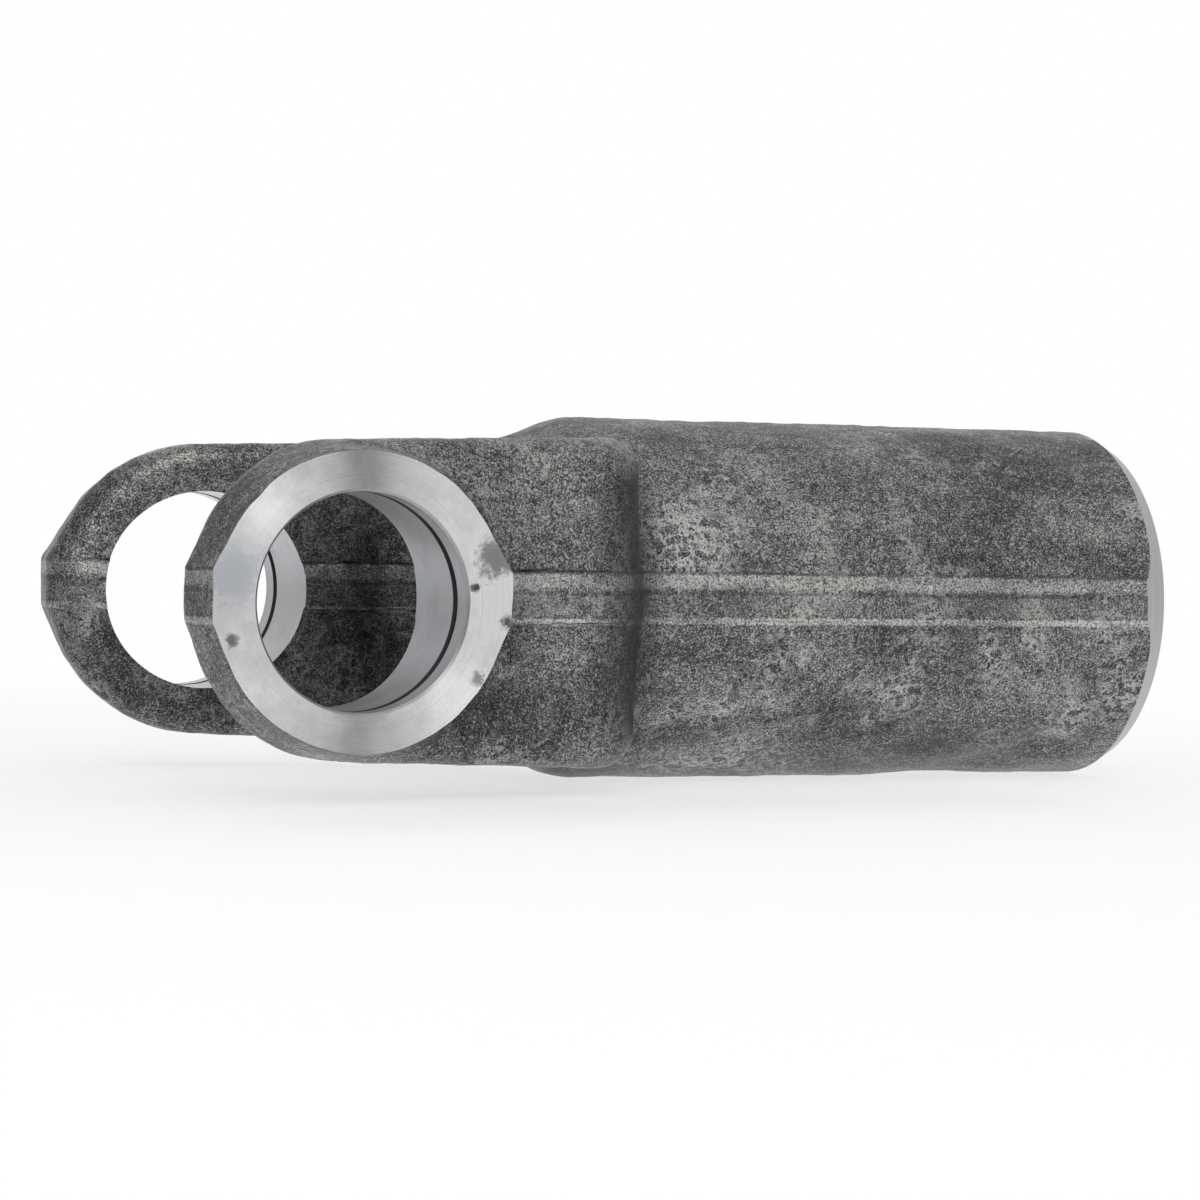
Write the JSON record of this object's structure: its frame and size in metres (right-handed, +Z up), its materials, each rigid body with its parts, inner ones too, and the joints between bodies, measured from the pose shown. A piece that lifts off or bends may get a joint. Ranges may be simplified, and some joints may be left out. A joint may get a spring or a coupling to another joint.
{
  "type": "universal joint yoke",
  "caption": "Forged steel fork and hub of a universal joint: bored, grooved ears for the bearing caps and a long sleeve with a splined bore.",
  "frame": {"origin": "where the axis of the cross bore through both ears meets the hub's axis", "axes": "+X along the hub's axis to its free end, +Y along the cross bore, +Z up, the direction in which the dies closed"},
  "size_m": [0.1439, 0.0792, 0.0488],
  "materials": {
    "forged_steel": "dark grey forging scale with light speckle, bright machined ear faces, bores, ring grooves and hub end"
  },
  "bodies": {
    "root": {"yoke": "forged_steel"}
  },
  "joints": []
}
